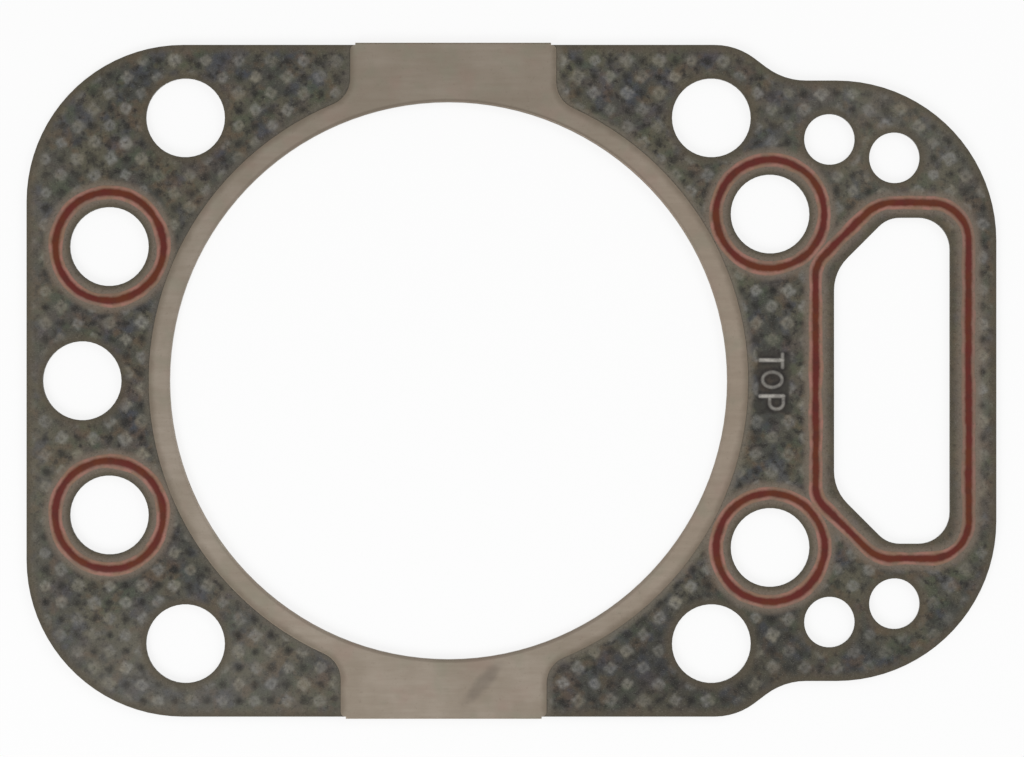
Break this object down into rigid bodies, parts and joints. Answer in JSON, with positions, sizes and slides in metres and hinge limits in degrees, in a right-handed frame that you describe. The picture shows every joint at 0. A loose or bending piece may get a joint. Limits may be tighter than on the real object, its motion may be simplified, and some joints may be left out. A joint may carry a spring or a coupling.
{
  "type": "cylinder head gasket",
  "caption": "Flat composite cylinder head gasket with a folded steel fire ring, silicone beads, bolt holes, coolant ways and a pushrod window.",
  "frame": {"origin": "centre of the cylinder opening, on the plane that rests on the block", "axes": "+X from the cylinder to the pushrod window, +Y to the rear edge, +Z to the cylinder head"},
  "size_m": [0.1843, 0.1284, 0.0018],
  "materials": {
    "facing": "pressed fibre and graphite sheet, dull dark grey, dimpled by the tangs of the core",
    "core_steel": "plain cold rolled steel, seen only at the punched edges",
    "ring_steel": "thin satin steel sheet with a warm grey tone",
    "bead": "red brown silicone, printed in one pass and slightly glossy"
  },
  "bodies": {
    "root": {"facing_bottom": "facing", "steel_core": "core_steel", "facing_top": "facing", "fire_ring": "ring_steel", "coolant_beads_top": "bead", "coolant_beads_bottom": "bead", "window_bead_top": "bead", "window_bead_bottom": "bead"}
  },
  "joints": []
}
